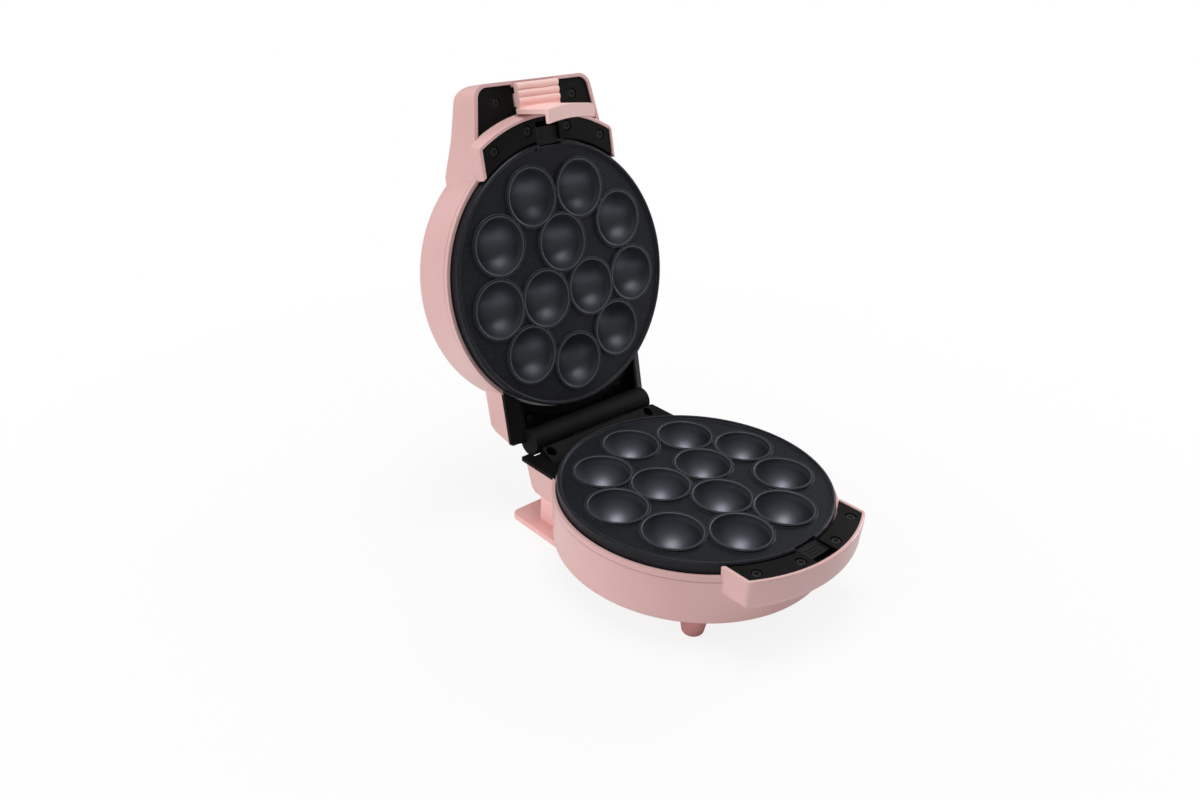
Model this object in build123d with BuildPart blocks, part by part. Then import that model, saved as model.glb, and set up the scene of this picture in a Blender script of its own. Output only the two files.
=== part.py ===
"""Cake pop maker: two hinged halves with removable cavity plates, stored open."""
import os
from math import atan, cos, degrees, radians, sin

from build123d import *

os.makedirs("parts", exist_ok=True)

# --- Driving dimensions, in millimetres -------------------------------------------------------
# Each half has its own frame: x across, y towards the hinge, z = 0 at the parting plane and
# negative into the half. The lower half stands on the table, the lid is the same frame turned over.
parting_height = 56.5  # table to the plane where the halves meet
open_angle = 103.8  # lid stop, measured from closed
hinge_drop = 0.5  # hinge axis below the parting plane

cavity_radius = 17.5
inner_ring_count = 3
outer_ring_count = 9
inner_ring_wall = 3.36  # between neighbouring cavities, at their rims
outer_ring_wall = 4.38
plate_border = 10.65  # outer cavities' rims to the plate's edge
plate_face_gap = 0.2  # plate rim below the parting plane
plate_rim_width = 2.0
field_drop = 1.4  # field below the plate rim
plate_web = 2.4
plate_skirt = 2.2
plate_depth = 8.1
cavity_wall = 2.2
lip_width = 1.1
lip_round = 0.45

shell = 2.4  # wall of the mouldings
rim_top = 7.0  # bowl rim below the parting plane
rim_width = 2.3
rim_round = 1.6
rim_gap = 0.8  # plate edge to bowl rim
bowl_depth = 42.0
bowl_draft = 1.6  # rim radius less floor radius
floor_round = 3.5
lid_crown = 4.0
ledge_width = 2.7

handle_width = 17.8  # plate edge to the front of the handle arc
handle_half_width = 54.0
handle_depth = 20.0
handle_corner = 4.0
handle_draft = 3.0  # degrees
handle_top = 0.4  # handle rim below the parting plane
cover_inset = 2.1  # pink rim seen around the black cover
cover_sink = 0.4
cover_thickness = 2.4
cover_gap = 1.5  # plate edge to the handle covers
cover_skirt = 2.2
cover_fit = 0.15
cover_chamfer = 0.4
seat_step = 1.5  # ledge under a cover's edge
handle_screw_angles = (-27.0, -9.7, 9.7, 27.0)

button_half_width = 8.8
button_slot_gap = 0.5
button_top = 2.4
button_tongue = 2.2
button_overlap = 1.8  # tongue over the plate
button_length = 11.5
button_back = 5.6  # length of the button's deeper part
button_floor = 11.0
button_travel = 2.8
button_clear = 0.4
button_rib_spacing = 2.2
button_rib_height = 0.5
channel_gap = 3.9  # plate edge to the cover's channel, which guides the button
channel_wall = 1.6
spring_bore = 2.2
spring_radius = 1.6
spring_wire = 0.3
spring_length = 6.0
spring_depth = 7.6
spring_turns = 6
ledge_drop = 5.0  # plate ledge that the button's tongue holds down
notch_width = 2.4  # straight cut-out at the plate's front
key_offset = 10.9
key_size = 2.4

hinge_gap = 14.3  # plate edge to hinge axis
hinge_half_width = 59.6
hinge_cover_top = 6.5
hinge_cover_thickness = 2.5
hinge_cover_gap = 1.8  # plate edge to the hinge covers
hinge_cover_overhang = 0.3
hinge_cover_inset = 5.1  # hinge axis to the cover's rear edge
hinge_cover_corner = 1.2
ear_inset = 2.6  # hinge axis to the rear of the cover's corners
ear_gap = 1.0
fairing_run = 11.5  # length of the slope up to the barrels
fairing_inset = 10.4  # hinge axis to the top of the slope
fairing_top = 1.1
fairing_side = 3.0
hinge_screw_edge = 15.6  # cover's side to its screw
hinge_screw_inset = 14.0
hinge_post_depth = 20.0
lid_cover_top = 7.0
lid_screw_edge = 19.6
lid_screw_inset = 11.8
rail_top = 2.6  # the lid cover's side rails, which stand towards the parting plane
rail_width = 2.0
pocket_side = 9.6  # width of the lid cover beside its pocket
pocket_depth = 4.0
pocket_wall = 2.0
pocket_recess = 0.2  # for the screw heads in the pocket's floor
pocket_gap = 4.8  # plate edge to the pocket
pocket_inset = 3.2
barrel_web_inset = 7.0
base_block_inset = 5.5  # hinge axis to the block's rear, at its top and at its corner
base_block_slope = 6.0
lid_block_inset = -2.0
lid_block_slope = 7.0
block_corner_depth = 25.0
base_block_depth = 28.5
lid_block_depth = 30.0
block_chamfer = 4.5
block_round = 3.5
edge_round = 0.7
wire_window_half_width = 10.0
wire_window_top = 14.0
wire_window_height = 10.0

barrel_radius = 8.5
barrel_left = -20.4  # ends of the base's barrel
barrel_right = 27.0
barrel_gap = 0.4
lid_barrel_overlap = 1.2  # lid's barrels past its pocket
barrel_clear = 0.7
pin_radius = 2.5
pin_fit = 0.05
pin_inset = 1.0

foot_inset = 14.3  # bowl rim to the feet's centres
foot_angle = 45.0
foot_top_radius = 9.0
foot_tip_radius = 6.3
foot_round = 2.5

stand_half_width = 61.0
stand_front_inset = 60.0  # hinge axis to the stand's front
stand_overhang = 7.0
stand_plate = 3.4
stand_corner = 6.0
upright_half_width = 50.5
upright_front_inset = 44.0
upright_rear_inset = 10.0
upright_wall = 2.6
seat_gap = 0.1
ear_half_gap = 34.0  # upright's ears stand outside this
stand_screw_x = 25.0
stand_screw_inset = 32.0

vent_ring_radius = 40.0
vent_count = 10
vent_length = 16.0
vent_width = 3.0

inlet_x = 34.0  # cord grommet in the lower half's rear wall
inlet_depth = 17.0
inlet_radius = 3.4
inlet_wall_radius = 5.2
inlet_flange = 1.8

grip_side_step = 0.6  # the lid's grip is wider than its arc where it leaves the bowl
grip_root_inset = 13.7  # plate edge to where the grip's back begins
grip_narrowing = 9.2
grip_length = 21.1  # handle arc to the grip's end
grip_corner = 9.5
grip_face = 8.0
grip_wall = 2.2
grip_back_root = 41.3
grip_back_knee = 34.0
grip_back_tip = 29.0
grip_knee_gap = 8.3
grip_end_round = 9.0
grip_recess = 1.0
grip_cover_thickness = 2.5
arc_flare = 2.1  # the lid's arc leans out towards the grip
arc_side_flare = 0.4
arc_pocket_depth = 30.0
grip_screw_x = 30.7
grip_screw_inset = 12.0

latch_half_width = 16.4
latch_inset = 1.4  # grip's end to the latch's tip
latch_length = 16.2
latch_face = 4.6
latch_rib = 1.0
latch_rib_count = 3
latch_plate = 3.4
hook_half_width = 18.1
hook_thickness = 2.8
hook_clear = 0.7
hook_slant = 2.0
hook_height = 25.0
catch_height = 3.6
catch_grip = 4.6
latch_pivot_inset = 11.6
latch_pivot_depth = 15.5
latch_boss = 4.0
latch_lug = 7.0
latch_gap = 1.0
latch_pin_radius = 1.5
cradle_wall = 2.4
cradle_floor = 1.5
cradle_inset = 4.1
cradle_length = 13.0
notch_depth = 13.0  # cut in the grip's end for the latch
latch_spring_inset = 7.6
latch_spring_gap = 1.3
latch_spring_turns = 8

pan_sheet = 0.8
pan_depth = 16.0
pan_floor_inset = 11.7  # plate edge to the pan's flat floor
pan_flange_gap = 0.4
pan_flange_half_width = 50.0

element_tube_radius = 3.2
element_depth = 17.6
element_bend = 8.0
element_gap_angle = 40.0
element_leg_clear = 8.6  # leg's end to the bowl's inner floor
stud_radius = 1.2
stud_length = 4.5
saddle_size = 10.0
saddle_angles = (-90.0, 0.0, 90.0)

thermostat_radius = 8.0
thermostat_height = 5.5
fuse_radius = 2.1
fuse_length = 14.0
fuse_place = 22.0
terminal_x = -4.0
terminal_y = 66.0
terminal_length = 30.0
terminal_width = 12.0
terminal_height = 9.0

post_inset = 19.7  # plate edge to the pan's screws
post_radius = 4.0
post_angles = (30.0, 150.0, 270.0)
boss_radius = 3.2
screw_shank_radius = 1.45
screw_head_radius = 2.9
screw_head_height = 1.3
screw_length = 9.0
screw_recess_radius = 3.5
screw_recess = 1.6
screw_fit = 0.05

lens_radius = 3.1
lens_flange = 1.1
lens_spacing = 18.0
lens_inset = 19.7
lens_proud = 1.0
lamp_radius = 2.2
lamp_length = 6.5

# --- Derived levels and places -----------------------------------------------------------------
# The plate follows from its cavities, and everything around it from the plate.
inner_ring_radius = (cavity_radius + inner_ring_wall / 2) / sin(radians(180 / inner_ring_count))
outer_ring_radius = (cavity_radius + outer_ring_wall / 2) / sin(radians(180 / outer_ring_count))
plate_radius = outer_ring_radius + cavity_radius + plate_border
rim_inner = plate_radius + rim_gap
rim_radius = rim_inner + rim_width
handle_reach = plate_radius + handle_width
hinge_offset = plate_radius + hinge_gap

# The opened lid's bowl edge reaches furthest back; the origin is under the middle of the box.
turn = radians(open_angle)
edge_y = -(rim_radius - bowl_draft - floor_round)
edge_depth = bowl_depth - floor_round + hinge_drop
rear_reach = hinge_offset + (edge_y - hinge_offset) * cos(turn) + edge_depth * sin(turn) + floor_round
plate_y = (handle_reach - rear_reach) / 2

hinge_y = plate_y + hinge_offset
hinge_z = parting_height - hinge_drop

base_face = Plane(origin=(0, plate_y, parting_height), x_dir=(1, 0, 0), z_dir=(0, 0, 1))
lid_face = Plane(
    origin=(
        0,
        hinge_y - hinge_offset * cos(turn) + hinge_drop * sin(turn),
        hinge_z + hinge_offset * sin(turn) + hinge_drop * cos(turn),
    ),
    x_dir=(-1, 0, 0),
    z_dir=(0, -sin(turn), -cos(turn)),
)

floor_level = -bowl_depth
field_level = -plate_face_gap - field_drop
skirt_level = -plate_face_gap - plate_depth
ledge_level = skirt_level - pan_sheet
pan_level = skirt_level - pan_depth
pan_under = pan_level - pan_sheet
inner_floor = floor_level + shell
element_ring_radius = (inner_ring_radius + outer_ring_radius) / 2
element_leg = -inner_floor - element_leg_clear
pan_floor_radius = plate_radius - pan_floor_inset
post_ring_radius = plate_radius - post_inset
foot_ring_radius = rim_radius - foot_inset
lens_ring_radius = plate_radius - lens_inset

cover_inner_radius = plate_radius + cover_gap
cover_level = -handle_top - cover_sink
cover_under = cover_level - cover_thickness
cover_reach = handle_reach - cover_inset - cover_fit
cover_half_width = handle_half_width - cover_inset - cover_fit
handle_screw_radius = (cover_inner_radius + cover_reach) / 2 + 1.0
button_inner = plate_radius - button_overlap
button_outer = button_inner + button_length
button_step = button_outer - button_back
channel_inner = plate_radius + channel_gap
notch_line = plate_radius - notch_width

hinge_cover_radius = plate_radius + hinge_cover_gap
hinge_cover_side = hinge_half_width + hinge_cover_overhang
hinge_cover_rear = hinge_offset - hinge_cover_inset
hinge_cover_under = -hinge_cover_top - hinge_cover_thickness
fairing_rear = hinge_offset - fairing_inset
pan_flange_radius = hinge_cover_radius - pan_flange_gap
pocket_half_width = hinge_half_width - pocket_side
pocket_radius = plate_radius + pocket_gap
pocket_rear = hinge_offset - pocket_inset
lid_barrel_end = pocket_half_width + lid_barrel_overlap
barrel_web_front = hinge_offset - barrel_web_inset
base_block_rear = hinge_offset - base_block_inset
base_block_lower = base_block_rear - base_block_slope
lid_block_rear = hinge_offset - lid_block_inset
lid_block_lower = lid_block_rear - lid_block_slope
slot_half_width = button_half_width + button_slot_gap
slot_front = button_outer + button_travel + button_clear
grip_cover_level = -grip_face - grip_recess
grip_cover_under = grip_cover_level - grip_cover_thickness
channel_outer = cover_reach - 0.8
channel_level = -button_floor - button_clear - channel_wall
cover_skirt_level = -rim_top + 0.1
arc_outer = handle_reach + arc_flare
grip_half_width_root = handle_half_width + grip_side_step
grip_half_width_tip = grip_half_width_root - grip_narrowing
grip_root = plate_radius - grip_root_inset
grip_knee = plate_radius + grip_knee_gap
grip_reach = handle_reach + grip_length
latch_tip = grip_reach - latch_inset
latch_root = latch_tip - latch_length
latch_pivot_y = grip_reach - latch_pivot_inset
latch_spring_y = grip_reach - latch_spring_inset
cradle_rear = grip_reach - cradle_inset
cradle_front = cradle_rear - cradle_length
hook_inner = handle_reach + hook_clear
lid_cover_under = -lid_cover_top - hinge_cover_thickness
pocket_floor = -lid_cover_top - pocket_depth
pocket_under = pocket_floor - pocket_wall
pocket_outer = pocket_half_width + pocket_wall
latch_well = latch_half_width + latch_gap
cradle_level = -latch_pivot_depth - latch_boss - latch_gap
cradle_half_width = latch_well + cradle_wall
latch_under = -latch_face - latch_plate
foot_height = parting_height - bowl_depth
table_level = -parting_height
stand_top = table_level + stand_plate
stand_front = hinge_offset - stand_front_inset
stand_rear = hinge_offset + stand_overhang
upright_front = hinge_offset - upright_front_inset
upright_rear = hinge_offset - upright_rear_inset
cavity_spots = [
    (ring * cos(radians(angle)), ring * sin(radians(angle)), -plate_face_gap)
    for ring, count, first in (
        (inner_ring_radius, inner_ring_count, -90.0),
        (outer_ring_radius, outer_ring_count, -70.0),
    )
    for angle in [first + 360 / count * step for step in range(count)]
]

element_leg_angles = (180 - element_gap_angle / 2, element_gap_angle / 2 - 180)


# --- Helpers -----------------------------------------------------------------------------------
def section(face):
    """The half's x-z plane, for profiles that turn about its centre."""
    return Plane(origin=face.origin, x_dir=face.x_dir, z_dir=-face.y_dir)


def side_view(face, x=0.0):
    """The half's y-z plane at x; an extrusion from it runs along +x."""
    return Plane(origin=face.from_local_coords((x, 0, 0)), x_dir=face.y_dir, z_dir=face.x_dir)


def centre_line(face):
    return Axis(face.origin, face.z_dir)


def on_ring(radius, angle):
    """A place on a ring, its angle measured from the front centre."""
    return (radius * sin(radians(angle)), -radius * cos(radians(angle)))


def pair(x, y):
    """Two places that mirror each other across the middle."""
    return [(-x, y), (x, y)]


def arc_band(inner, outer, half_width):
    """Sketch of the front band between two radii, cut off square at its sides."""
    Circle(outer)
    with Locations((0, -outer / 2 - 25)):
        Rectangle(2 * half_width, outer - 50, mode=Mode.INTERSECT)
    if inner:
        Circle(inner, mode=Mode.SUBTRACT)


def bowl_wall(face, crown):
    """Revolved shell of a half, with the ledge that carries its pan."""
    floor_radius = rim_radius - bowl_draft
    with BuildSketch(section(face)) as profile:
        with BuildLine():
            outer = Polyline(
                (floor_radius, floor_level),
                (rim_radius, -rim_top),
                (rim_inner, -rim_top),
                (rim_inner, ledge_level),
                (rim_inner - ledge_width, ledge_level),
                (rim_inner - shell / 4, ledge_level - 2 * ledge_width),
                (floor_radius - shell, inner_floor),
            )
            if crown:
                TangentArc((0, inner_floor - crown), outer @ 1, tangent=(1, 0))
                Line((0, inner_floor - crown), (0, floor_level - crown))
                TangentArc((0, floor_level - crown), outer @ 0, tangent=(1, 0))
            else:
                Polyline(outer @ 1, (0, inner_floor), (0, floor_level), outer @ 0)
        make_face()
        corners = profile.vertices()
        fillet(corners.sort_by_distance((floor_radius, floor_level))[0], floor_round)
        fillet(corners.sort_by_distance((rim_radius, -rim_top))[0], rim_round)
    revolve(profile.sketch, axis=centre_line(face))


def clear_bowl(face):
    """Removes what lies inside the middle of the bowl's wall."""
    middle = shell / 2
    with BuildSketch(section(face)) as profile:
        with BuildLine():
            Polyline(
                (0, floor_level + middle),
                (rim_radius - bowl_draft - middle, floor_level + middle),
                (rim_radius - middle, -rim_top),
                (rim_radius - middle, rim_top),
                (0, rim_top),
                close=True,
            )
        make_face()
    revolve(profile.sketch, axis=centre_line(face), mode=Mode.SUBTRACT)


def block_form(face, rear, lower, depth, top, inset=0.0):
    """Rear block that carries a half's hinge cover; with an inset it is the block's hollow."""
    front = hinge_half_width - block_chamfer
    with BuildPart() as block:
        with BuildSketch(side_view(face)):
            with BuildLine():
                Polyline(
                    (front, top + inset),
                    (rear - inset, top + inset),
                    (lower - inset, -block_corner_depth),
                    (lower - block_chamfer - inset, inset - depth),
                    (front, inset - depth),
                    close=True,
                )
            make_face()
        extrude(amount=hinge_half_width - inset, both=True)
        sides = block.faces().sort_by(Axis.X)
        rims = [edge for side in (sides[0], sides[-1]) for edge in side.edges()]
        cover_edge = face.origin + face.z_dir * (top + inset)
        rims = [
            edge
            for edge in rims
            if (edge.center() - cover_edge).dot(face.z_dir) < -0.1
            and (edge.center() - face.origin).dot(face.y_dir) > front + 0.1
        ]
        fillet(rims, block_round)
    return block.part


def coil_spring(seat, radius, wire, length, turns):
    """Compression spring that stands on its seat plane."""
    pitch = (length - 2 * wire) / turns
    with BuildPart() as spring:
        with BuildLine():
            first = seat.origin + seat.z_dir * wire
            coil = Helix(pitch, pitch * turns, radius, center=first, direction=seat.z_dir)
        with BuildSketch(Plane(origin=coil @ 0, z_dir=coil % 0)):
            Circle(wire)
        sweep(path=coil, is_frenet=True)
    return spring


def panel_screws(face, spots, seat_level, length):
    """Cross-head screws whose heads sit on seat_level, driven into the half."""
    cross = 0.62 * screw_head_radius
    with BuildPart() as screws:
        with BuildSketch(face.offset(seat_level)):
            with Locations(*spots):
                Circle(screw_head_radius)
        extrude(amount=screw_head_height)
        fillet(screws.edges().filter_by(GeomType.CIRCLE).group_by(Axis(face.origin, face.z_dir))[-1], 0.5)
        with BuildSketch(face.offset(seat_level)):
            with Locations(*spots):
                Circle(screw_shank_radius)
        extrude(amount=-length)
        with BuildSketch(face.offset(seat_level + screw_head_height)):
            with Locations(*spots):
                Rectangle(2 * cross, 0.7)
                Rectangle(0.7, 2 * cross)
        extrude(amount=-0.7 * screw_head_height, mode=Mode.SUBTRACT)
    return screws


def baking_plate(face, key_side):
    """Cast plate with half-ball cavities, a rim bead and the catch notch at its front."""
    with BuildPart(face) as plate:
        with BuildSketch(section(face)):
            with BuildLine():
                Polyline(
                    (0, field_level),
                    (plate_radius - plate_rim_width - 0.6, field_level),
                    (plate_radius - plate_rim_width, -plate_face_gap),
                    (plate_radius - 0.8, -plate_face_gap),
                    (plate_radius, -plate_face_gap - 0.8),
                    (plate_radius, skirt_level),
                    (plate_radius - plate_skirt, skirt_level),
                    (plate_radius - plate_skirt, field_level - plate_web),
                    (0, field_level - plate_web),
                    close=True,
                )
            make_face()
        revolve(axis=centre_line(face))
        with Locations(*cavity_spots):
            Sphere(
                cavity_radius + cavity_wall,
                arc_size2=0,
                align=(Align.CENTER, Align.CENTER, Align.MAX),
            )
            Cylinder(
                cavity_radius + lip_width,
                field_drop + plate_web / 2,
                align=(Align.CENTER, Align.CENTER, Align.MAX),
            )
        with Locations(*cavity_spots):
            Sphere(cavity_radius, mode=Mode.SUBTRACT)
        lips = plate.edges().filter_by(GeomType.CIRCLE).group_by(centre_line(face))[-1]
        fillet(lips.filter_by(lambda edge: edge.radius < cavity_radius + 2 * lip_width), lip_round)
        with BuildSketch(face):
            with Locations((0, -notch_line - plate_skirt)):
                Rectangle(2 * (slot_half_width + 0.1), 2 * plate_skirt)
        extrude(amount=-ledge_drop, mode=Mode.SUBTRACT)
        with BuildSketch(face):
            with Locations((key_side * key_offset, -notch_line + key_size / 2)):
                Rectangle(key_size, key_size)
        extrude(amount=-ledge_drop / 2, mode=Mode.SUBTRACT)
    return plate


def reflector_pan(face):
    """Bright sheet pan under a plate; its flange shows along the hinge side."""
    rim = rim_inner - 0.2
    with BuildPart() as pan:
        with BuildSketch(section(face)):
            with BuildLine():
                Polyline(
                    (0, pan_level),
                    (pan_floor_radius, pan_level),
                    (rim - ledge_width - 1.2, skirt_level),
                    (rim, skirt_level),
                    (rim, ledge_level),
                    (rim - ledge_width - 0.7, ledge_level),
                    (pan_floor_radius + 0.5, pan_under),
                    (0, pan_under),
                    close=True,
                )
            make_face()
        revolve(axis=centre_line(face))
        with BuildSketch(face.offset(skirt_level)):
            Circle(pan_flange_radius)
            with Locations((0, plate_radius)):
                Rectangle(2 * pan_flange_half_width, plate_radius, mode=Mode.INTERSECT)
            Circle(rim - 0.5, mode=Mode.SUBTRACT)
        extrude(amount=-pan_sheet)
        with BuildSketch(face.offset(pan_level)):
            for angle in element_leg_angles:
                with Locations(leg_spot(angle)):
                    Circle(element_tube_radius + 1.2)
            for angle in post_angles:
                with Locations(on_ring(post_ring_radius, angle)):
                    Circle(screw_shank_radius + screw_fit)
        extrude(amount=-pan_sheet, mode=Mode.SUBTRACT)
    return pan


def leg_spot(angle):
    """Where an element's leg goes down: past the ring's end by the bend, along the tangent."""
    side = 1 if angle > 0 else -1
    x, y = on_ring(element_ring_radius, angle)
    return (
        x + side * element_bend * cos(radians(angle)),
        y + side * element_bend * sin(radians(angle)),
    )


def heating_element(face):
    """Sheathed ring between the two rings of cavities, with its ends turned down."""
    with BuildPart() as element:
        start = 180 - element_gap_angle / 2
        for side in (-1, 1):
            angle = start * side
            spot = on_ring(element_ring_radius, angle)
            along = face.x_dir * (cos(radians(angle)) * side) + face.y_dir * (sin(radians(angle)) * side)
            end = face.from_local_coords((spot[0], spot[1], -element_depth))
            outward = (end - face.from_local_coords((0, 0, -element_depth))).normalized()
            with BuildSketch(Plane(origin=end, x_dir=outward, z_dir=along)):
                Circle(element_tube_radius)
            bend_centre = end - face.z_dir * element_bend
            bend_axis = Axis(bend_centre, outward)
            towards_leg = outward.cross(face.z_dir).dot(along) < 0
            revolve(axis=bend_axis, revolution_arc=90 if not towards_leg else -90)
            foot = leg_spot(angle)
            with BuildSketch(face.offset(-element_depth - element_bend)):
                with Locations(foot):
                    Circle(element_tube_radius)
            extrude(amount=-(element_leg - element_depth - element_bend))
            with BuildSketch(face.offset(-element_leg)):
                with Locations(foot):
                    Circle(stud_radius)
            extrude(amount=-stud_length)
        first = on_ring(element_ring_radius, -start)
        origin = face.from_local_coords((first[0], first[1], -element_depth))
        outward = (origin - face.from_local_coords((0, 0, -element_depth))).normalized()
        with BuildSketch(Plane(origin=origin, x_dir=outward, z_dir=face.z_dir.cross(outward))):
            Circle(element_tube_radius)
        revolve(axis=centre_line(face), revolution_arc=2 * start)
    return element

def element_saddles(face):
    """Blocks on the pan's floor that cradle the heating element."""
    with BuildPart() as saddles:
        with BuildSketch(face.offset(pan_level)):
            for angle in saddle_angles:
                with Locations(on_ring(element_ring_radius, angle)):
                    Rectangle(saddle_size, saddle_size, rotation=angle)
        extrude(amount=-element_depth - pan_level)
        with BuildSketch(section(face)):
            with Locations((element_ring_radius, -element_depth)):
                Circle(element_tube_radius + screw_fit)
        revolve(axis=centre_line(face), mode=Mode.SUBTRACT)
    return saddles


def ledge_slot(face):
    """Opens the top of the bowl's rim along the hinge, where the pan's flange lies."""
    with BuildSketch(face.offset(ledge_level)) as slot:
        with Locations((0, hinge_offset)):
            Rectangle(2 * (pan_flange_half_width + 3), 1.4 * hinge_offset)
        Circle(hinge_cover_radius, mode=Mode.INTERSECT)
    extrude(slot.sketch, amount=parting_height / 2, mode=Mode.SUBTRACT)


def hinge_seat(face, level):
    """Lowers the bowl's rim to the underside of the hinge cover that crosses it."""
    with BuildSketch(face.offset(level)) as seat:
        side = hinge_cover_side + cover_fit
        hinge_outline(-side, side, hinge_offset, plate_radius + rim_gap / 2)
    extrude(seat.sketch, amount=parting_height / 2, mode=Mode.SUBTRACT)


def wire_window(face):
    """Opening in the bowl's wall that leads the wires to the hinge block."""
    with BuildSketch(face.offset(-wire_window_top)) as window:
        with Locations((inlet_x, 0.9 * rim_radius)):
            Rectangle(2 * wire_window_half_width, 4 * shell)
    extrude(window.sketch, amount=-wire_window_height, mode=Mode.SUBTRACT)


def handle_pocket(face, depth):
    """Recess in a half's front block: the cover's seat, its skirt's groove and a hollow."""
    with BuildSketch(face.offset(cover_under)) as seat:
        arc_band(0, cover_reach + cover_fit, cover_half_width + cover_fit)
    extrude(seat.sketch, amount=parting_height / 2, mode=Mode.SUBTRACT)
    with BuildSketch(face.offset(-rim_top)) as groove:
        arc_band(0, cover_inner_radius + cover_skirt + cover_fit, cover_half_width + cover_fit)
        with Locations((0, -channel_inner)):
            Rectangle(2 * (slot_half_width + channel_wall + cover_fit), 2 * cover_skirt)
    extrude(groove.sketch, amount=parting_height / 2, mode=Mode.SUBTRACT)
    with BuildSketch(face.offset(cover_under)) as hollow:
        arc_band(rim_radius + shell, cover_reach - seat_step, cover_half_width - seat_step)
    extrude(hollow.sketch, amount=shell - depth - cover_under, mode=Mode.SUBTRACT)
    with BuildSketch(face.offset(cover_under)) as channel:
        with Locations((0, -(channel_inner + channel_outer) / 2)):
            Rectangle(
                2 * (slot_half_width + channel_wall + cover_fit),
                channel_outer - channel_inner + 2 * cover_fit,
            )
    extrude(channel.sketch, amount=channel_level - cover_fit - cover_under, mode=Mode.SUBTRACT)


def arc_block(face):
    """Front arc block of the lower half, drafted away from the parting plane."""
    with BuildPart() as block:
        with BuildSketch(face.offset(-handle_top)) as outline:
            arc_band(0, handle_reach, handle_half_width)
            fillet(outline.vertices().group_by(Axis.Y)[0], handle_corner)
        extrude(amount=handle_top - handle_depth, taper=handle_draft)
        levels = block.faces().filter_by(Plane(face.origin, z_dir=face.z_dir)).sort_by(centre_line(face))
        for level, radius in ((levels[0], block_round), (levels[-1], edge_round)):
            edges = [
                edge
                for edge in level.edges()
                if (edge.center() - face.origin).dot(face.y_dir) < -handle_half_width - 5
            ]
            fillet(edges, radius)
    return block.part


def flared_arc(face):
    """Front arc of the lid, leaning out from the parting plane down to the grip's cover."""
    with BuildPart() as arc:
        with BuildSketch(face.offset(-handle_top)) as outline:
            arc_band(0, handle_reach, handle_half_width)
            fillet(outline.vertices().group_by(Axis.Y)[0], handle_corner)
        with BuildSketch(face.offset(grip_cover_level)) as foot:
            arc_band(0, arc_outer, handle_half_width + arc_side_flare)
            fillet(foot.vertices().group_by(Axis.Y)[0], handle_corner)
        loft(ruled=True)
        rim = arc.faces().filter_by(Plane(face.origin, z_dir=face.z_dir)).sort_by(centre_line(face))[-1]
        edges = [
            edge
            for edge in rim.edges()
            if (edge.center() - face.origin).dot(face.y_dir) < -handle_half_width - 5
        ]
        fillet(edges, edge_round)
    return arc.part


def grip_outline(inset=0.0):
    """The grip's plan, narrowing towards its rounded end."""
    with BuildSketch() as outline:
        with BuildLine():
            Polyline(
                (-grip_half_width_root + inset, -grip_root + 20),
                (-grip_half_width_root + inset, -grip_root),
                (-grip_half_width_tip + inset, inset - grip_reach),
                (grip_half_width_tip - inset, inset - grip_reach),
                (grip_half_width_root - inset, -grip_root),
                (grip_half_width_root - inset, -grip_root + 20),
                close=True,
            )
        make_face()
        fillet(outline.vertices().group_by(Axis.Y)[0], grip_corner - inset)
    return outline.sketch


def grip_form(face, top, inset=0.0):
    """The lid's grip below a level: its plan outline cut to the sloping back."""
    thinning = shell if inset else 0.0
    with BuildPart() as grip:
        with BuildSketch(face.offset(top)):
            add(grip_outline(inset))
        extrude(amount=-2 * bowl_depth)
        with BuildSketch(side_view(face)) as back:
            with BuildLine():
                Polyline(
                    (-grip_root + 20, top + 1),
                    (inset - grip_reach, top + 1),
                    (inset - grip_reach, thinning - grip_back_tip),
                    (-grip_knee, thinning - grip_back_knee),
                    (-grip_root, thinning - grip_back_root),
                    (-grip_root + 20, thinning - grip_back_root),
                    close=True,
                )
            make_face()
            tip = back.vertices().sort_by_distance((inset - grip_reach, thinning - grip_back_tip))[0]
            fillet(tip, grip_end_round - inset)
        extrude(amount=hinge_half_width, both=True, mode=Mode.INTERSECT)
    return grip.part


def hinge_outline(left, right, rear, inner):
    """Sketch of a hinge cover between two sides, from around the plate to its rear."""
    front = rear / 2
    with Locations(((left + right) / 2, (front + rear) / 2)):
        Rectangle(right - left, rear - front)
    Circle(inner, mode=Mode.SUBTRACT)


def barrel(left, right, radius):
    """Cylinder about the hinge line between two places across the whole product."""
    with BuildPart() as tube:
        with BuildSketch(Plane(origin=(left, hinge_y, hinge_z), x_dir=(0, 1, 0), z_dir=(1, 0, 0))):
            Circle(radius)
        extrude(amount=right - left)
    return tube.part


def posts(face, spots, radius, top, bottom):
    """Round screw posts between two levels of a half, bored from the top."""
    with BuildSketch(face.offset(top)) as columns:
        with Locations(*spots):
            Circle(radius)
    extrude(columns.sketch, amount=bottom - top)
    with BuildSketch(face.offset(top)) as bores:
        with Locations(*spots):
            Circle(screw_shank_radius + screw_fit)
    extrude(bores.sketch, amount=-screw_length, mode=Mode.SUBTRACT)


def screw_seats(face, spots, level, thickness, recess):
    """Screw holes through a cover, each with the recess its head sits in."""
    with BuildSketch(face.offset(level)) as holes:
        with Locations(*spots):
            Circle(screw_shank_radius + screw_fit)
    extrude(holes.sketch, amount=-thickness, mode=Mode.SUBTRACT)
    with BuildSketch(face.offset(level)) as seats:
        with Locations(*spots):
            Circle(screw_recess_radius)
    extrude(seats.sketch, amount=-recess, mode=Mode.SUBTRACT)


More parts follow.
